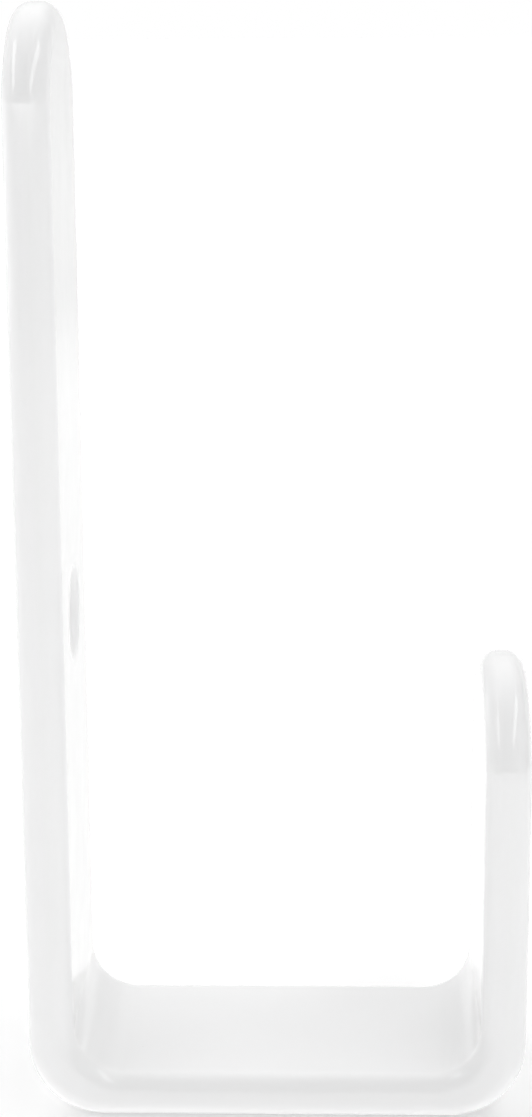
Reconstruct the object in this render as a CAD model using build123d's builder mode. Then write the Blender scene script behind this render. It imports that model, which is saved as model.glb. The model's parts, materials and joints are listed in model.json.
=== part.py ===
"""Wall hook for a ladder: one flat bar bent into a J, dipped in a thick soft coat."""

import os

from build123d import *

# Coated bar, in millimetres
bar_width = 27.2
bar_thickness = 5.0
edge_flat = 0.6  # flat left along the middle of the bar's edge, between its two roundings
end_rise = 9.4  # height of the rounded end over its corners, less than half the width
end_corner = 3.0  # the coat softens the corners where the rounded end meets the straight edges

# Hook, heights measured from the underside of the base
back_height = 121.5
front_height = 50.2
hook_gap = 45.3  # clear space between the back arm and the front arm
inner_bend_radius = 5.5  # the coat gathers inside the bends, so this is more than a plain bend has
outer_bend_radius = 8.5

# Screw hole through the back arm
hole_height = 55.0
hole_diameter = 8.2
lip_radius = 1.6  # the coat rounds the hole's rim on both faces

# Places that follow from the sizes: the origin is the middle of the screw hole,
# with X out from the wall, Y across the bar and Z up
edge_radius = (bar_thickness - edge_flat) / 2
wall_face = -bar_thickness / 2
back_inside = bar_thickness / 2
front_inside = back_inside + hook_gap
front_outside = front_inside + bar_thickness
base_underside = -hole_height
base_seat = base_underside + bar_thickness
back_corners = base_underside + back_height - end_rise
front_corners = base_underside + front_height - end_rise

with BuildPart() as ladder_hook:
    # Side view of the bar, up to the corners of its rounded ends
    with BuildSketch(Plane.XZ) as side_view:
        with BuildLine():
            Polyline(
                (wall_face, base_underside),
                (front_outside, base_underside),
                (front_outside, front_corners),
                (front_inside, front_corners),
                (front_inside, base_seat),
                (back_inside, base_seat),
                (back_inside, back_corners),
                (wall_face, back_corners),
                close=True,
            )
        make_face()
        inside_corners = side_view.vertices().group_by(Axis.Y)[1]
        fillet(inside_corners, inner_bend_radius)
        outside_corners = side_view.vertices().group_by(Axis.Y)[0]
        fillet(outside_corners, outer_bend_radius)
    extrude(amount=bar_width / 2, both=True)

    # Rounded ends, with soft corners
    for face, corners in ((wall_face, back_corners), (front_inside, front_corners)):
        with BuildSketch(Plane.YZ.offset(face)):
            with BuildLine():
                ThreePointArc(
                    (-bar_width / 2, corners),
                    (0, corners + end_rise),
                    (bar_width / 2, corners),
                )
                Line((bar_width / 2, corners), (-bar_width / 2, corners))
            make_face()
        extrude(amount=bar_thickness)
        corner_edges = ladder_hook.edges().filter_by(Axis.X)
        corner_edges = corner_edges.filter_by_position(Axis.Z, corners - 0.1, corners + 0.1)
        fillet(corner_edges, end_corner)

    # Soft edges: each rounding runs on from the base right round its side of the bar
    base_faces = ladder_hook.faces().filter_by(GeomType.PLANE).filter_by(Axis.Z)
    fillet(base_faces.edges().filter_by(Axis.X), edge_radius)

    # Screw hole with a soft lip on both faces
    with BuildSketch(Plane.YZ.offset(wall_face)):
        Circle(hole_diameter / 2)
    extrude(amount=bar_thickness, mode=Mode.SUBTRACT)
    fillet(ladder_hook.edges(Select.LAST).filter_by(GeomType.CIRCLE), lip_radius)

ladder_hook.part.label = "ladder_hook"

os.makedirs("parts", exist_ok=True)
export_step(ladder_hook.part, "parts/ladder_hook.step")
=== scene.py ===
"""Looks of the ladder hook: one flat bar, cut, punched, bent into a J and dipped in glossy white vinyl."""

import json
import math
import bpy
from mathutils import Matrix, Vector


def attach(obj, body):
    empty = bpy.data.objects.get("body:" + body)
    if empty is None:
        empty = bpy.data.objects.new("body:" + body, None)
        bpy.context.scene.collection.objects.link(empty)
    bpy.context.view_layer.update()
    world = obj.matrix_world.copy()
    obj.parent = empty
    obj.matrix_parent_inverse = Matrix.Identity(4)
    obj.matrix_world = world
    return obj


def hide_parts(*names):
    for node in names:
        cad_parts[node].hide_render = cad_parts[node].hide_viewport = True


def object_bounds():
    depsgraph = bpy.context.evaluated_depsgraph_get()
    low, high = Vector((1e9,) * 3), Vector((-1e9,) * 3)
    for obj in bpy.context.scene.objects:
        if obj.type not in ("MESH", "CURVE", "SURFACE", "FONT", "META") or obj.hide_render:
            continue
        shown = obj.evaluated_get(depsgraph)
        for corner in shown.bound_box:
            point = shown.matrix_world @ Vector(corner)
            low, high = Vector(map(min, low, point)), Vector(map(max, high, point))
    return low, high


bl_info = {
    "name": "Ladder Hook",
    "version": (1, 0, 0),
    "blender": (4, 5, 0),
    "location": "View3D > Sidebar > Hook",
    "description": "Makes a vinyl-dipped ladder hook and the pale studio it stands in",
    "category": "Add Mesh",
}

import bmesh
import bpy
from bpy.props import FloatProperty, FloatVectorProperty, IntProperty, PointerProperty
from mathutils import Matrix, Vector

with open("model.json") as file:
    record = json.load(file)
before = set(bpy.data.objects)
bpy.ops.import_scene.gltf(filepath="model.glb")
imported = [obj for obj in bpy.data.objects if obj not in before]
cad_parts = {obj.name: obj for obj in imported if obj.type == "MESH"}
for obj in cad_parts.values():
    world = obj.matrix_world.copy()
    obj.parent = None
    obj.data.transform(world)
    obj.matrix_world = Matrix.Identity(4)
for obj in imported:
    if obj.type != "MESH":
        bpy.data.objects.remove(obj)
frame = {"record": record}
CAD_LOW, CAD_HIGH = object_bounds()
MOUNTS = {mount["name"]: mount for mount in frame["record"]["mounts"]}
MILLIMETRE = 0.001
MERGE_DISTANCE = 0.02 * MILLIMETRE
RIPPLE_SEED = 3.0


def length(name, description, default):
    """A size that a user may change, in metres."""
    return FloatProperty(
        name=name, description=description, default=default, min=0.0, subtype="DISTANCE", unit="LENGTH"
    )


def level(name, description, default):
    """How bright a light or surface is, where 1 is white."""
    return FloatProperty(name=name, description=description, default=default, min=0.0)


def tint(name, description, default):
    """A colour."""
    return FloatVectorProperty(
        name=name, description=description, default=default, min=0.0, max=1.0, subtype="COLOR"
    )


def portion(name, description, default):
    """A part of the whole, from 0 to 1."""
    return FloatProperty(
        name=name, description=description, default=default, min=0.0, max=1.0, subtype="FACTOR"
    )


def angle(name, description, default):
    """A turn, in radians."""
    return FloatProperty(
        name=name, description=description, default=default, subtype="ANGLE", unit="ROTATION"
    )


def rows(name, description, default, least):
    """A number of rows of faces."""
    return IntProperty(name=name, description=description, default=default, min=least)


class HookSizes(bpy.types.PropertyGroup):
    """The bar's section, the bends and the screw hole. The origin is the middle of the screw hole."""

    bar_width: length("Bar Width", "Across the coated bar", CAD_HIGH.y - CAD_LOW.y)
    bar_thickness: length("Bar Thickness", "Through the coated bar", -2 * CAD_LOW.x)
    edge_flat: length("Edge Flat", "Flat between the two roundings of the edge", 0.6 * MILLIMETRE)
    end_rise: length("End Rise", "Height of a rounded end over its corners", 9.4 * MILLIMETRE)
    end_corner: length("End Corner", "Softening of a rounded end's corners", 3.0 * MILLIMETRE)
    back_height: length("Back Height", "Underside to the top of the back arm", CAD_HIGH.z - CAD_LOW.z)
    front_height: length("Front Height", "Underside to the top of the front arm", 50.2 * MILLIMETRE)
    reach: length("Reach", "Wall face to the outside of the front arm", CAD_HIGH.x - CAD_LOW.x)
    inner_bend: length("Inner Bend", "Radius inside the bends", 5.5 * MILLIMETRE)
    outer_bend: length("Outer Bend", "Radius outside the bends", 8.5 * MILLIMETRE)
    hole_height: length("Hole Height", "Underside to the middle of the screw hole", -CAD_LOW.z)
    hole_radius: length(
        "Hole Radius", "Radius of the screw hole", MOUNTS["screw_hole"]["dims"]["r_mm"] * MILLIMETRE
    )
    lip_radius: length("Lip Radius", "Rounding of the coat over the hole's rim", 1.6 * MILLIMETRE)
    ripple_depth: length("Ripple Depth", "How far the coat's surface wanders", 0.03 * MILLIMETRE)
    ripple_size: length("Ripple Size", "From one ripple of the coat to the next", 14 * MILLIMETRE)
    face_rows: rows("Face Rows", "Rows of faces in half the width", 16, least=8)
    bend_steps: rows("Bend Steps", "Rows of faces round a bend", 32, least=8)
    edge_steps: rows("Edge Steps", "Rows of faces round an edge or the hole's lip", 12, least=4)
    corner_steps: rows("Corner Steps", "Rows of faces round a corner of a rounded end", 8, least=4)


class VinylLook(bpy.types.PropertyGroup):
    """Colour and gloss of the dip coat."""

    colour: tint("Vinyl", "Colour of the coat", (0.88, 0.88, 0.88))
    thick_colour: tint("Thick Vinyl", "Colour where the coat is thicker", (0.86, 0.861, 0.863))
    speck_colour: tint("Specks", "Colour of dust caught in the coat", (0.72, 0.72, 0.71))
    speck_radius: length("Speck Radius", "Radius of a speck of dust", 0.2 * MILLIMETRE)
    speck_spacing: length("Speck Spacing", "From one speck to the next, through the coat", 6.0 * MILLIMETRE)
    peel_depth: length("Peel Depth", "Depth of the orange peel", 0.02 * MILLIMETRE)
    peel_strength: portion("Peel Strength", "How much of the orange peel shows", 0.1)
    depth: length("Depth", "How far light passes through the vinyl", 0.7 * MILLIMETRE)
    clearness: portion("Clearness", "Share of the light that passes into the vinyl", 0.35)
    roughness: portion("Roughness", "Roughness of clean vinyl", 0.06)
    dull_roughness: portion("Dull Roughness", "Roughness of handled vinyl", 0.14)


class StudioSetup(bpy.types.PropertyGroup):
    """Floor, light and camera."""

    floor_colour: tint("Floor", "Colour of the floor", (0.95, 0.95, 0.95))
    floor_half: length("Floor Half", "Half the floor's width", 4.0)
    shadow_share: portion("Shadow Share", "Share of the light that the white floor shows", 0.8)
    near_glow: level("Near Glow", "White added to the floor near the hook", 0.18)
    far_glow: level("Far Glow", "White added to the floor far off, where less light falls", 0.355)
    mirror_glow: level("Mirror Glow", "White added to the near floor in reflections", 0.1)
    glow_start: length("Glow Start", "How far the near glow reaches", 0.1)
    glow_end: length("Glow End", "Where the far glow is reached", 1.2)
    sheet_start: length("Sheet Start", "How far the near floor reaches in reflections", 0.44)
    sheet_end: length("Sheet End", "Where the far floor starts in reflections", 0.715)
    left_level: level("Left Level", "Light from the left", 1.15)
    right_level: level("Right Level", "Light from the right", 1.0)
    back_level: level("Back Level", "Light from behind the hook", 0.5)
    room_level: level("Room Level", "Light from above the camera", 0.35)
    top_level: level("Top Level", "Light from above", 1.62)
    white_level: level("White Level", "White that is seen at the horizon", 1.0)
    far_level: level("Far Level", "How bright the far floor and the horizon are in reflections", 0.91)
    front_far_level: level("Front Far Level", "The same on the camera's side", 0.35)
    top_lean: angle("Top Lean", "Lean of the overhead light to the back", 0.5)
    right_turn: angle("Right Turn", "Turn of the right light to the front", 0.5)
    camera_location: FloatVectorProperty(
        name="Camera",
        description="Where the camera stands",
        default=(0.0306748, -0.2606745, 0.070174),
        subtype="TRANSLATION",
        unit="LENGTH",
    )
    camera_turn: angle("Turn", "Camera's turn to the right", -0.0260)
    camera_dip: angle("Dip", "Camera's dip below level", 0.2408)
    camera_tilt: angle("Tilt", "Camera's roll", 0.0051)
    lens: FloatProperty(
        name="Lens", description="Focal length on a 36 mm sensor", default=78.12, unit="CAMERA"
    )


class Reading:
    """A number in a node tree. Sums on it add Math nodes."""

    def __init__(self, tree, socket):
        self.tree = tree
        self.socket = socket

    def work(self, operation, *others):
        node = self.tree.nodes.new("ShaderNodeMath")
        node.operation = operation
        for place, value in enumerate((self, *others)):
            if isinstance(value, Reading):
                self.tree.links.new(value.socket, node.inputs[place])
            else:
                node.inputs[place].default_value = value
        return Reading(self.tree, node.outputs[0])

    def __add__(self, other):
        return self.work("ADD", other)

    def __sub__(self, other):
        return self.work("SUBTRACT", other)

    def __mul__(self, other):
        return self.work("MULTIPLY", other)

    def __truediv__(self, other):
        return self.work("DIVIDE", other)

    def sine(self):
        return self.work("SINE")

    def cosine(self):
        return self.work("COSINE")

    def at_least(self, other):
        return self.work("MAXIMUM", other)

    def at_most(self, other):
        return self.work("MINIMUM", other)

    def share(self):
        return self.at_least(0.0).at_most(1.0)


def edge_radius(sizes):
    return (sizes.bar_thickness - sizes.edge_flat) / 2


def bar_runs(sizes):
    """Lengths along the bar: back arm to its bend, each bend, the flat of the base, and the front arm."""
    bend_corner = sizes.bar_thickness + sizes.inner_bend
    back_arm = sizes.back_height - bend_corner
    bend = (sizes.inner_bend + sizes.bar_thickness / 2) * math.pi / 2
    base = sizes.reach - 2 * bend_corner
    front_arm = sizes.front_height - bend_corner
    return back_arm, bend, base, front_arm


def steps_between(start, end, count):
    """Places from start up to, but not at, end."""
    return [start + (end - start) * step / count for step in range(count)]


def half_section(sizes):
    """Half the bar's section, from the inner face to the outer: (distance from the middle, height)."""
    rounding = edge_radius(sizes)
    half = sizes.bar_thickness / 2
    flat_reach = sizes.bar_width / 2 - rounding
    upper = [(reach, half) for reach in steps_between(0.0, flat_reach, sizes.face_rows)]
    for step in range(sizes.edge_steps + 1):
        turn = math.pi / 2 * step / sizes.edge_steps
        upper.append((flat_reach + rounding * math.sin(turn), half - rounding + rounding * math.cos(turn)))
    return upper + [(reach, -height) for reach, height in reversed(upper)]


def end_outline(sizes):
    """A rounded end, from its side to its top: (below the top, from the middle, normal up, normal out)."""
    straight_steps = 3
    half = sizes.bar_width / 2
    soft = sizes.end_corner
    arc = (half**2 + sizes.end_rise**2) / (2 * sizes.end_rise)
    corner_rise = math.sqrt((arc - soft) ** 2 - (half - soft) ** 2)
    corner_low = arc - corner_rise
    meet = math.atan2(corner_rise, half - soft)
    outline = [(low, half, 0.0, 1.0) for low in steps_between(half, corner_low, straight_steps)]
    for turn in steps_between(0.0, meet, sizes.corner_steps):
        up, out = math.sin(turn), math.cos(turn)
        outline.append((corner_low - soft * up, half - soft + soft * out, up, out))
    for turn in steps_between(meet, math.pi / 2, 2 * sizes.edge_steps):
        up, out = math.sin(turn), math.cos(turn)
        outline.append((arc - arc * up, arc * out, up, out))
    return outline + [(0.0, 0.0, 1.0, 0.0)]


def blank_stations(sizes, window, row):
    """Places along the straight sides of the blank, close together in the bends and even round the hole."""
    back_arm, bend, base, front_arm = bar_runs(sizes)
    end_radius = sizes.bar_width / 2
    hole = sizes.back_height - sizes.hole_height
    long_row = 1.5 * row
    runs = (
        (end_radius, hole - window, None),
        (hole - window, hole + window, 2 * round(window / row)),
        (hole + window, back_arm, None),
        (back_arm, back_arm + bend, sizes.bend_steps),
        (back_arm + bend, back_arm + bend + base, None),
        (back_arm + bend + base, back_arm + 2 * bend + base, sizes.bend_steps),
        (back_arm + 2 * bend + base, back_arm + 2 * bend + base + front_arm - end_radius, None),
    )
    stations = []
    for start, end, count in runs:
        stations += steps_between(start, end, count or max(1, round((end - start) / long_row)))
    return stations + [runs[-1][1]]


def make_blank(sizes):
    """Flat bar before bending: X along it from the back end, Y across it, and the inner face up."""
    section = half_section(sizes)
    row = section[1][0]
    rows_beside_window = 6
    window = row * (sizes.face_rows - rows_beside_window)
    stations = blank_stations(sizes, window, row)
    half_width = sizes.bar_width / 2
    whole = stations[-1] + half_width
    half_end = end_outline(sizes)[1:]  # its first point is the last station's
    whole_end = half_end + [(low, -reach, up, -out) for low, reach, up, out in reversed(half_end[:-1])]

    # Spokes run from the middle line to the edge, which they meet squarely, and fan out at the ends:
    # start of the spoke along the bar, its place on the edge, and the edge's normal there
    spokes = [(along, along, half_width, 0.0, 1.0) for along in stations]
    spokes += [(stations[-1], whole - low, reach, up, out) for low, reach, up, out in whole_end]
    spokes += [(along, along, -half_width, 0.0, -1.0) for along in reversed(stations)]
    spokes += [(stations[0], low, -reach, -up, -out) for low, reach, up, out in whole_end]

    blank = bmesh.new()
    rings = []
    rounding = edge_radius(sizes)
    flat_reach = half_width - rounding
    for spine, edge_x, edge_y, normal_x, normal_y in spokes:
        flat_x, flat_y = edge_x - normal_x * rounding, edge_y - normal_y * rounding
        ring = []
        for reach, height in section:
            share, past = min(reach / flat_reach, 1.0), max(reach - flat_reach, 0.0)
            x = spine + (flat_x - spine) * share + normal_x * past
            y = flat_y * share + normal_y * past
            ring.append(blank.verts.new((x, y, height)))
        rings.append(ring)

    # Faces, left open in a square window round the screw hole
    hole = sizes.back_height - sizes.hole_height
    for ring, following in zip(rings, rings[1:] + rings[:1]):
        for place in range(len(section) - 1):
            corners = (ring[place], following[place], following[place + 1], ring[place + 1])
            middle_x = sum(corner.co.x for corner in corners) / 4
            middle_y = sum(corner.co.y for corner in corners) / 4
            if max(abs(middle_x - hole), abs(middle_y)) > window:
                blank.faces.new(corners)

    punch_hole(blank, sizes, hole, window, row)
    bmesh.ops.remove_doubles(blank, verts=blank.verts, dist=MERGE_DISTANCE)
    loose = [vert for vert in blank.verts if not vert.link_faces]
    bmesh.ops.delete(blank, geom=loose, context="VERTS")
    bmesh.ops.recalc_face_normals(blank, faces=blank.faces)
    mesh = bpy.data.meshes.new("bar_blank")
    blank.to_mesh(mesh)
    blank.free()
    return mesh


def punch_hole(blank, sizes, hole, window, row):
    """Lines the window: in to the lip, round it, down the bore, and out the same way on the other face."""
    count = round(window / row)
    square = [(step * row, -window) for step in range(-count, count)]
    square += [(window, step * row) for step in range(-count, count)]
    square += [(-step * row, window) for step in range(-count, count)]
    square += [(-window, -step * row) for step in range(-count, count)]

    half = sizes.bar_thickness / 2
    rim = sizes.hole_radius + sizes.lip_radius
    lip = []
    for step in range(sizes.edge_steps + 1):
        turn = math.pi / 2 * step / sizes.edge_steps
        inset = sizes.lip_radius * math.sin(turn)
        drop = sizes.lip_radius * (1 - math.cos(turn))
        lip.append((rim - inset, half - drop))
    lining = lip + [(radius, -height) for radius, height in reversed(lip)]

    columns = []
    for corner_x, corner_y in square:
        far = math.hypot(corner_x, corner_y)
        points = [(hole + corner_x, corner_y, half)]
        out_x, out_y = corner_x / far, corner_y / far
        points += [(hole + out_x * radius, out_y * radius, height) for radius, height in lining]
        points += [(hole + corner_x, corner_y, -half)]
        columns.append([blank.verts.new(point) for point in points])
    for column, following in zip(columns, columns[1:] + columns[:1]):
        for place in range(len(column) - 1):
            blank.faces.new((column[place], following[place], following[place + 1], column[place + 1]))


def bending_tree():
    """Geometry nodes that bend the blank twice and let the coat's surface wander a little."""
    tree = bpy.data.node_groups.new("Bend And Coat", "GeometryNodeTree")
    tree.interface.new_socket("Blank", in_out="INPUT", socket_type="NodeSocketGeometry")
    for name in (
        "Back Arm", "Bend Run", "Base Run", "Back Top", "Thickness", "Edge Radius",
        "Inner Bend", "Outer Bend", "Ripple Depth", "Ripple Size",
    ):
        socket = tree.interface.new_socket(name, in_out="INPUT", socket_type="NodeSocketFloat")
        socket.subtype = "DISTANCE"
    tree.interface.new_socket("Coat", in_out="INPUT", socket_type="NodeSocketMaterial")
    tree.interface.new_socket("Hook", in_out="OUTPUT", socket_type="NodeSocketGeometry")

    nodes, links = tree.nodes, tree.links
    given = nodes.new("NodeGroupInput")
    size = {socket.name: Reading(tree, socket) for socket in given.outputs if socket.type == "VALUE"}
    place = nodes.new("ShaderNodeSeparateXYZ")
    links.new(nodes.new("GeometryNodeInputPosition").outputs[0], place.inputs[0])
    along, across, height = (Reading(tree, socket) for socket in place.outputs)

    # How far along each run of the bar a point lies
    past_back = along - size["Back Arm"]
    past_bend = past_back - size["Bend Run"]
    past_base = past_bend - size["Base Run"]
    quarter = math.pi / 2
    first_turn = (past_back / size["Bend Run"]).share() * quarter
    second_turn = (past_base / size["Bend Run"]).share() * quarter
    turn = first_turn + second_turn
    drop = along.at_most(size["Back Arm"])
    run = past_bend.at_least(0.0).at_most(size["Base Run"])
    rise = (past_base - size["Bend Run"]).at_least(0.0)

    # The inner face, followed from the top of the back arm to the top of the front arm
    inner = size["Inner Bend"]
    inner_x = size["Thickness"] * 0.5 + inner - inner * first_turn.cosine()
    inner_x = inner_x + run + inner * second_turn.sine()
    inner_z = size["Back Top"] - drop - inner * first_turn.sine()
    inner_z = inner_z + inner - inner * second_turn.cosine() + rise

    # The bar is thicker through a bend, because the coat gathers inside it
    corner = size["Thickness"] + inner
    offset = corner - size["Outer Bend"]
    clear = (offset / corner).work("ARCTANGENT")

    def swell(turned):
        lean = turned.sine() + turned.cosine()
        spread = (offset * lean).work("POWER", 2.0)
        round_reach = size["Outer Bend"].work("POWER", 2.0) - offset.work("POWER", 2.0) * 2.0 + spread
        arc = offset * lean + round_reach.work("SQRT")
        straight = corner / turned.sine().at_least(turned.cosine())
        from_middle = (turned - quarter / 2).work("ABSOLUTE")
        on_arc = (from_middle + clear).work("LESS_THAN", quarter / 2)
        return (arc - straight) * on_arc + straight - corner

    depth = size["Thickness"] * 0.5 - height
    rounding = size["Edge Radius"]
    between = ((depth - rounding) / (size["Thickness"] - rounding * 2.0)).share()
    reach = depth + (swell(first_turn) + swell(second_turn)) * between

    bent = nodes.new("ShaderNodeCombineXYZ")
    for socket, value in zip(
        bent.inputs, (inner_x - turn.cosine() * reach, across, inner_z - turn.sine() * reach)
    ):
        links.new(value.socket, socket)
    bend = nodes.new("GeometryNodeSetPosition")
    links.new(given.outputs["Blank"], bend.inputs["Geometry"])
    links.new(bent.outputs[0], bend.inputs["Position"])

    # The coat wanders in and out by a hair
    ripple = nodes.new("ShaderNodeTexNoise")
    ripple.noise_dimensions = "4D"
    ripple.inputs["W"].default_value = RIPPLE_SEED
    ripple.inputs["Detail"].default_value = 1.0
    links.new(size["Ripple Size"].work("POWER", -1.0).socket, ripple.inputs["Scale"])
    wander = (Reading(tree, ripple.outputs[0]) - 0.5) * size["Ripple Depth"] * 2.0
    shift = nodes.new("ShaderNodeVectorMath")
    shift.operation = "SCALE"
    links.new(nodes.new("GeometryNodeInputNormal").outputs[0], shift.inputs[0])
    links.new(wander.socket, shift.inputs["Scale"])
    coat = nodes.new("GeometryNodeSetPosition")
    links.new(bend.outputs[0], coat.inputs["Geometry"])
    links.new(shift.outputs[0], coat.inputs["Offset"])

    smooth = nodes.new("GeometryNodeSetShadeSmooth")
    realize = nodes.new("GeometryNodeRealizeInstances")
    paint = nodes.new("GeometryNodeSetMaterial")
    result = nodes.new("NodeGroupOutput")
    links.new(coat.outputs[0], smooth.inputs[0])
    links.new(smooth.outputs[0], realize.inputs[0])
    links.new(realize.outputs[0], paint.inputs["Geometry"])
    links.new(given.outputs["Coat"], paint.inputs["Material"])
    links.new(paint.outputs[0], result.inputs["Hook"])
    return tree


# Patterns in the coat, in waves for each metre, and the noise at which it is clean or fully dull
TONE_SCALE = 60.0
GLOSS_SCALE = 90.0
PEEL_SCALE = 500.0
CLEAN_NOISE = 0.35
DULL_NOISE = 0.75
SPECK_CORE = 0.3  # share of a speck's radius that has its full colour


def vinyl_material(look):
    """Glossy dipped vinyl: faint orange peel, a little duller where handled, the odd speck of dust."""
    material = bpy.data.materials.new("white_dipped_vinyl")
    material.use_nodes = True
    nodes, links = material.node_tree.nodes, material.node_tree.links
    vinyl = nodes["Principled BSDF"]
    vinyl.inputs["IOR"].default_value = 1.5
    vinyl.inputs["Subsurface Weight"].default_value = look.clearness
    vinyl.inputs["Subsurface Radius"].default_value = (1.0, 1.0, 1.0)
    vinyl.inputs["Subsurface Scale"].default_value = look.depth
    place = nodes.new("ShaderNodeTexCoord")

    def noise(scale, detail):
        texture = nodes.new("ShaderNodeTexNoise")
        texture.inputs["Scale"].default_value = scale
        texture.inputs["Detail"].default_value = detail
        links.new(place.outputs["Object"], texture.inputs["Vector"])
        return texture.outputs["Fac"]

    tone = nodes.new("ShaderNodeMix")
    tone.data_type = "RGBA"
    links.new(noise(TONE_SCALE, detail=2.0), tone.inputs["Factor"])
    tone.inputs["A"].default_value = (*look.colour, 1.0)
    tone.inputs["B"].default_value = (*look.thick_colour, 1.0)

    dust = nodes.new("ShaderNodeTexVoronoi")
    dust.inputs["Scale"].default_value = 1.0 / look.speck_spacing
    links.new(place.outputs["Object"], dust.inputs["Vector"])
    inside = nodes.new("ShaderNodeMapRange")
    inside.interpolation_type = "SMOOTHSTEP"
    inside.inputs["From Min"].default_value = look.speck_radius / look.speck_spacing
    inside.inputs["From Max"].default_value = SPECK_CORE * look.speck_radius / look.speck_spacing
    links.new(dust.outputs["Distance"], inside.inputs["Value"])
    specked = nodes.new("ShaderNodeMix")
    specked.data_type = "RGBA"
    links.new(inside.outputs["Result"], specked.inputs["Factor"])
    links.new(tone.outputs["Result"], specked.inputs["A"])
    specked.inputs["B"].default_value = (*look.speck_colour, 1.0)
    links.new(specked.outputs["Result"], vinyl.inputs["Base Color"])

    gloss = nodes.new("ShaderNodeMapRange")
    gloss.inputs["From Min"].default_value = CLEAN_NOISE
    gloss.inputs["From Max"].default_value = DULL_NOISE
    gloss.inputs["To Min"].default_value = look.roughness
    gloss.inputs["To Max"].default_value = look.dull_roughness
    links.new(noise(GLOSS_SCALE, detail=4.0), gloss.inputs["Value"])
    links.new(gloss.outputs["Result"], vinyl.inputs["Roughness"])

    peel = nodes.new("ShaderNodeBump")
    peel.inputs["Strength"].default_value = look.peel_strength
    peel.inputs["Distance"].default_value = look.peel_depth
    links.new(noise(PEEL_SCALE, detail=0.0), peel.inputs["Height"])
    links.new(peel.outputs["Normal"], vinyl.inputs["Normal"])
    return material


class HOOK_OT_hook(bpy.types.Operator):
    """Cut, punch, bend and dip the bar"""

    bl_idname = "hook.make_hook"
    bl_label = "Make Hook"

    def execute(self, context):
        sizes = context.scene.hook_sizes
        back_arm, bend, base, _ = bar_runs(sizes)
        blank = bpy.data.objects.new("bar_blank", make_blank(sizes))
        context.scene.collection.objects.link(blank)
        dip = blank.modifiers.new("Bend And Coat", "NODES")
        dip.node_group = bending_tree()
        values = {
            "Back Arm": back_arm,
            "Bend Run": bend,
            "Base Run": base,
            "Back Top": sizes.back_height - sizes.hole_height,
            "Thickness": sizes.bar_thickness,
            "Edge Radius": edge_radius(sizes),
            "Inner Bend": sizes.inner_bend,
            "Outer Bend": sizes.outer_bend,
            "Ripple Depth": sizes.ripple_depth,
            "Ripple Size": sizes.ripple_size,
            "Coat": vinyl_material(context.scene.vinyl_look),
        }
        for socket in dip.node_group.interface.items_tree:
            if socket.in_out == "INPUT" and socket.name in values:
                dip[socket.identifier] = values[socket.name]

        finished = blank.evaluated_get(context.evaluated_depsgraph_get())
        hook = bpy.data.objects.new("dipped_hook", bpy.data.meshes.new_from_object(finished))
        context.scene.collection.objects.link(hook)
        bpy.data.objects.remove(blank)
        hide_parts("ladder_hook")
        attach(hook, "root")
        return {"FINISHED"}


def fade(value, start, end):
    """Smooth change from 0 at start to 1 at end."""
    ramp = value.tree.nodes.new("ShaderNodeMapRange")
    ramp.interpolation_type = "SMOOTHSTEP"
    ramp.inputs["From Min"].default_value = start
    ramp.inputs["From Max"].default_value = end
    value.tree.links.new(value.socket, ramp.inputs["Value"])
    return Reading(value.tree, ramp.outputs["Result"])


# Level direction, 30 degrees to the left of straight back
BACK_LEFT = (-math.sin(math.pi / 6), math.cos(math.pi / 6), 0.0)
BACK_EDGE = 0.1  # how softly the back gives way to the front


def distant_level(tree, place, studio):
    """How far the far floor and the horizon lie below white in reflections, as a number below 0."""
    towards = tree.nodes.new("ShaderNodeVectorMath")
    towards.operation = "DOT_PRODUCT"
    tree.links.new(place, towards.inputs[0])
    towards.inputs[1].default_value = BACK_LEFT
    in_front = fade(Reading(tree, towards.outputs["Value"]), BACK_EDGE, -BACK_EDGE)
    return in_front * (studio.front_far_level - studio.far_level) + (studio.far_level - 1.0)


def seen_directly(tree):
    """1 for a ray from the camera, or one mirrored or passed on to here."""
    path = tree.nodes.new("ShaderNodeLightPath")
    seen = Reading(tree, path.outputs["Is Camera Ray"])
    for ray in ("Is Glossy Ray", "Is Transmission Ray"):
        seen = seen.at_least(Reading(tree, path.outputs[ray]))
    return seen.socket


def floor_material(studio):
    """Pale floor that shows white around the hook's soft shadow, and is dimmer far off in reflections."""
    material = bpy.data.materials.new("pale_floor")
    material.use_nodes = True
    tree = material.node_tree
    nodes, links = tree.nodes, tree.links
    nodes.clear()
    matt = nodes.new("ShaderNodeBsdfDiffuse")
    matt.inputs["Color"].default_value = (*studio.floor_colour, 1.0)
    shaded = nodes.new("ShaderNodeBsdfDiffuse")
    share = studio.shadow_share
    shaded.inputs["Color"].default_value = (share, share, share, 1.0)
    place = nodes.new("ShaderNodeTexCoord").outputs["Object"]
    distance = nodes.new("ShaderNodeVectorMath")
    distance.operation = "LENGTH"
    links.new(place, distance.inputs[0])
    distant = distant_level(tree, place, studio)
    reach = Reading(tree, distance.outputs["Value"])
    far = fade(reach, studio.sheet_start, studio.sheet_end)
    glow_rise = fade(reach, studio.glow_start, studio.glow_end)
    white = glow_rise * (studio.far_glow - studio.near_glow) + studio.near_glow
    mirrored = Reading(tree, nodes.new("ShaderNodeLightPath").outputs["Is Glossy Ray"])
    glow = nodes.new("ShaderNodeEmission")
    mirror_glow = far * (distant - studio.mirror_glow) + studio.mirror_glow
    links.new((mirrored * mirror_glow + white).socket, glow.inputs["Strength"])
    shown = nodes.new("ShaderNodeAddShader")
    links.new(shaded.outputs[0], shown.inputs[0])
    links.new(glow.outputs[0], shown.inputs[1])
    mix = nodes.new("ShaderNodeMixShader")
    links.new(seen_directly(tree), mix.inputs[0])
    links.new(matt.outputs[0], mix.inputs[1])
    links.new(shown.outputs[0], mix.inputs[2])
    links.new(mix.outputs[0], nodes.new("ShaderNodeOutputMaterial").inputs["Surface"])
    return material


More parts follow.
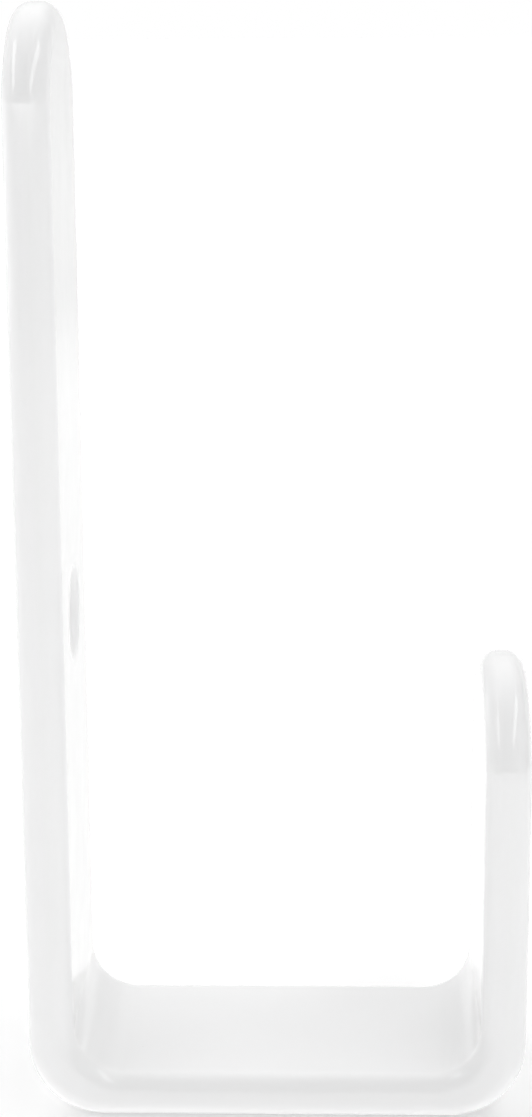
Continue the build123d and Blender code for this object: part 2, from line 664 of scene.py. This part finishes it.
# Soft lamps that face the hook: name, width, its two ends, brightness, whether its reflection shows
LAMPS = (
    ("left_strip", 0.28, (-0.68, 0.30, 1.05), (-0.96, -0.75, 1.05), 2.6, True),
    ("right_strip", 0.26, (0.70, 0.25, 1.05), (0.30, -0.95, 1.05), 2.6, True),
    ("left_softbox", 0.20, (-0.55, 0.05, 0.05), (-0.45, 0.60, 0.05), 0.65, True),
    ("front_strip", 0.085, (-2.40, -1.60, 0.007), (1.60, -1.60, 0.007), 2.7, True),
    ("front_card", 0.06, (-0.10, -0.13, -0.03), (0.15, -0.13, -0.03), 0.15, False),
    ("table_light", 0.60, (-0.28, -0.10, -0.85), (0.32, -0.10, -0.85), 2.6, False),
)


def hang_lamp(collection, name, width, start, end, brightness, mirrored):
    """Rectangular lamp that faces the middle of the hook. Its brightness is the same at any size."""
    start, end = Vector(start), Vector(end)
    lamp = bpy.data.lights.new(name, "AREA")
    lamp.shape = "RECTANGLE"
    lamp.size = width
    lamp.size_y = (end - start).length
    lamp.energy = brightness * math.pi * lamp.size * lamp.size_y
    middle = (start + end) / 2
    along = (end - start).normalized()
    away = middle - (CAD_LOW + CAD_HIGH) / 2
    away = (away - away.project(along)).normalized()
    holder = bpy.data.objects.new(name, lamp)
    collection.objects.link(holder)
    holder.location = middle
    holder.rotation_euler = Matrix((along.cross(away), along, away)).transposed().to_euler()
    holder.visible_camera = False
    holder.visible_glossy = mirrored


# The sky's light, with heights from 0 at the horizon to 1 overhead
HORIZON_EDGE = 0.02  # no soft light comes from further below the horizon than this
ROOM_FOOT, ROOM_TOP = 0.1, 0.5  # the light above the camera starts and is full
WHITE_FOOT, WHITE_TOP = 0.26, 0.36  # the white horizon starts to end and has ended
SIDE_FOCUS = 2.0  # a higher focus makes a side's light narrower
TOP_FOCUS = 4.0


def studio_world(studio):
    """Soft light with a level for each side, and a white horizon in what is seen directly or mirrored."""
    world = bpy.data.worlds.new("studio")
    world.use_nodes = True
    tree = world.node_tree
    direction = tree.nodes.new("ShaderNodeTexCoord").outputs["Generated"]
    split = tree.nodes.new("ShaderNodeSeparateXYZ")
    tree.links.new(direction, split.inputs[0])
    right, back, up = (Reading(tree, socket) for socket in split.outputs)

    def light_from(side, brightness, focus=SIDE_FOCUS):
        return side.at_least(0.0).work("POWER", focus) * brightness

    overhead = back * math.sin(studio.top_lean) + up * math.cos(studio.top_lean)
    right_front = right * math.cos(studio.right_turn) - back * math.sin(studio.right_turn)
    soft_light = (
        light_from(right_front, studio.right_level)
        + light_from(right * -1.0, studio.left_level)
        + light_from(back, studio.back_level)
        + light_from(back * -1.0, studio.room_level) * fade(up, ROOM_FOOT, ROOM_TOP)
        + light_from(overhead, studio.top_level, focus=TOP_FOCUS)
    )
    path = tree.nodes.new("ShaderNodeLightPath")
    horizon = Reading(tree, path.outputs["Is Glossy Ray"]) * distant_level(tree, direction, studio)
    horizon = horizon + studio.white_level
    white = Reading(tree, seen_directly(tree)) * fade(up, WHITE_TOP, WHITE_FOOT)
    above = fade(up, -HORIZON_EDGE, HORIZON_EDGE)
    strength = (white * -1.0 + 1.0) * above * soft_light + white * horizon
    background = tree.nodes["Background"]
    background.inputs["Color"].default_value = (1.0, 1.0, 1.0, 1.0)
    tree.links.new(strength.socket, background.inputs["Strength"])
    return world


class HOOK_OT_studio(bpy.types.Operator):
    """Lay the floor, light it and place the camera"""

    bl_idname = "hook.set_studio"
    bl_label = "Set Studio"

    def execute(self, context):
        scene = context.scene
        studio = scene.hook_studio
        sheet = bpy.data.meshes.new("floor")
        half = studio.floor_half
        corners = [(-half, -half), (half, -half), (half, half), (-half, half)]
        sheet.from_pydata([(x, y, CAD_LOW.z) for x, y in corners], [], [(0, 1, 2, 3)])
        sheet.materials.append(floor_material(studio))
        floor = bpy.data.objects.new("floor", sheet)
        scene.collection.objects.link(floor)
        floor.visible_shadow = False  # the table light under the sheet shines through it

        scene.world = studio_world(studio)
        for lamp in LAMPS:
            hang_lamp(scene.collection, *lamp)

        camera = bpy.data.cameras.new("camera")
        camera.sensor_width = 36.0
        camera.lens = studio.lens
        camera.clip_start = 0.01
        stand = bpy.data.objects.new("camera", camera)
        scene.collection.objects.link(stand)
        aim = Matrix.Rotation(-studio.camera_turn, 4, "Z")
        aim @= Matrix.Rotation(math.pi / 2 - studio.camera_dip, 4, "X")
        aim @= Matrix.Rotation(-studio.camera_tilt, 4, "Z")
        stand.location = studio.camera_location
        stand.rotation_euler = aim.to_euler()
        scene.camera = stand
        scene.view_settings.view_transform = "Standard"
        return {"FINISHED"}


class HOOK_PT_panel(bpy.types.Panel):
    """Lists the hook's operators and settings"""

    bl_label = "Ladder Hook"
    bl_idname = "HOOK_PT_panel"
    bl_space_type = "VIEW_3D"
    bl_region_type = "UI"
    bl_category = "Hook"

    def draw(self, context):
        for operator in (HOOK_OT_hook, HOOK_OT_studio):
            self.layout.operator(operator.bl_idname)
        for settings in (context.scene.hook_sizes, context.scene.vinyl_look, context.scene.hook_studio):
            box = self.layout.box()
            for name in type(settings).__annotations__:
                box.prop(settings, name)


CLASSES = (HookSizes, VinylLook, StudioSetup, HOOK_OT_hook, HOOK_OT_studio, HOOK_PT_panel)


def register():
    for item in CLASSES:
        bpy.utils.register_class(item)
    bpy.types.Scene.hook_sizes = PointerProperty(type=HookSizes)
    bpy.types.Scene.vinyl_look = PointerProperty(type=VinylLook)
    bpy.types.Scene.hook_studio = PointerProperty(type=StudioSetup)


def unregister():
    del bpy.types.Scene.hook_studio
    del bpy.types.Scene.vinyl_look
    del bpy.types.Scene.hook_sizes
    for item in reversed(CLASSES):
        bpy.utils.unregister_class(item)


def main():
    register()
    bpy.ops.hook.make_hook()
    bpy.ops.hook.set_studio()


if __name__ == "__main__":
    main()
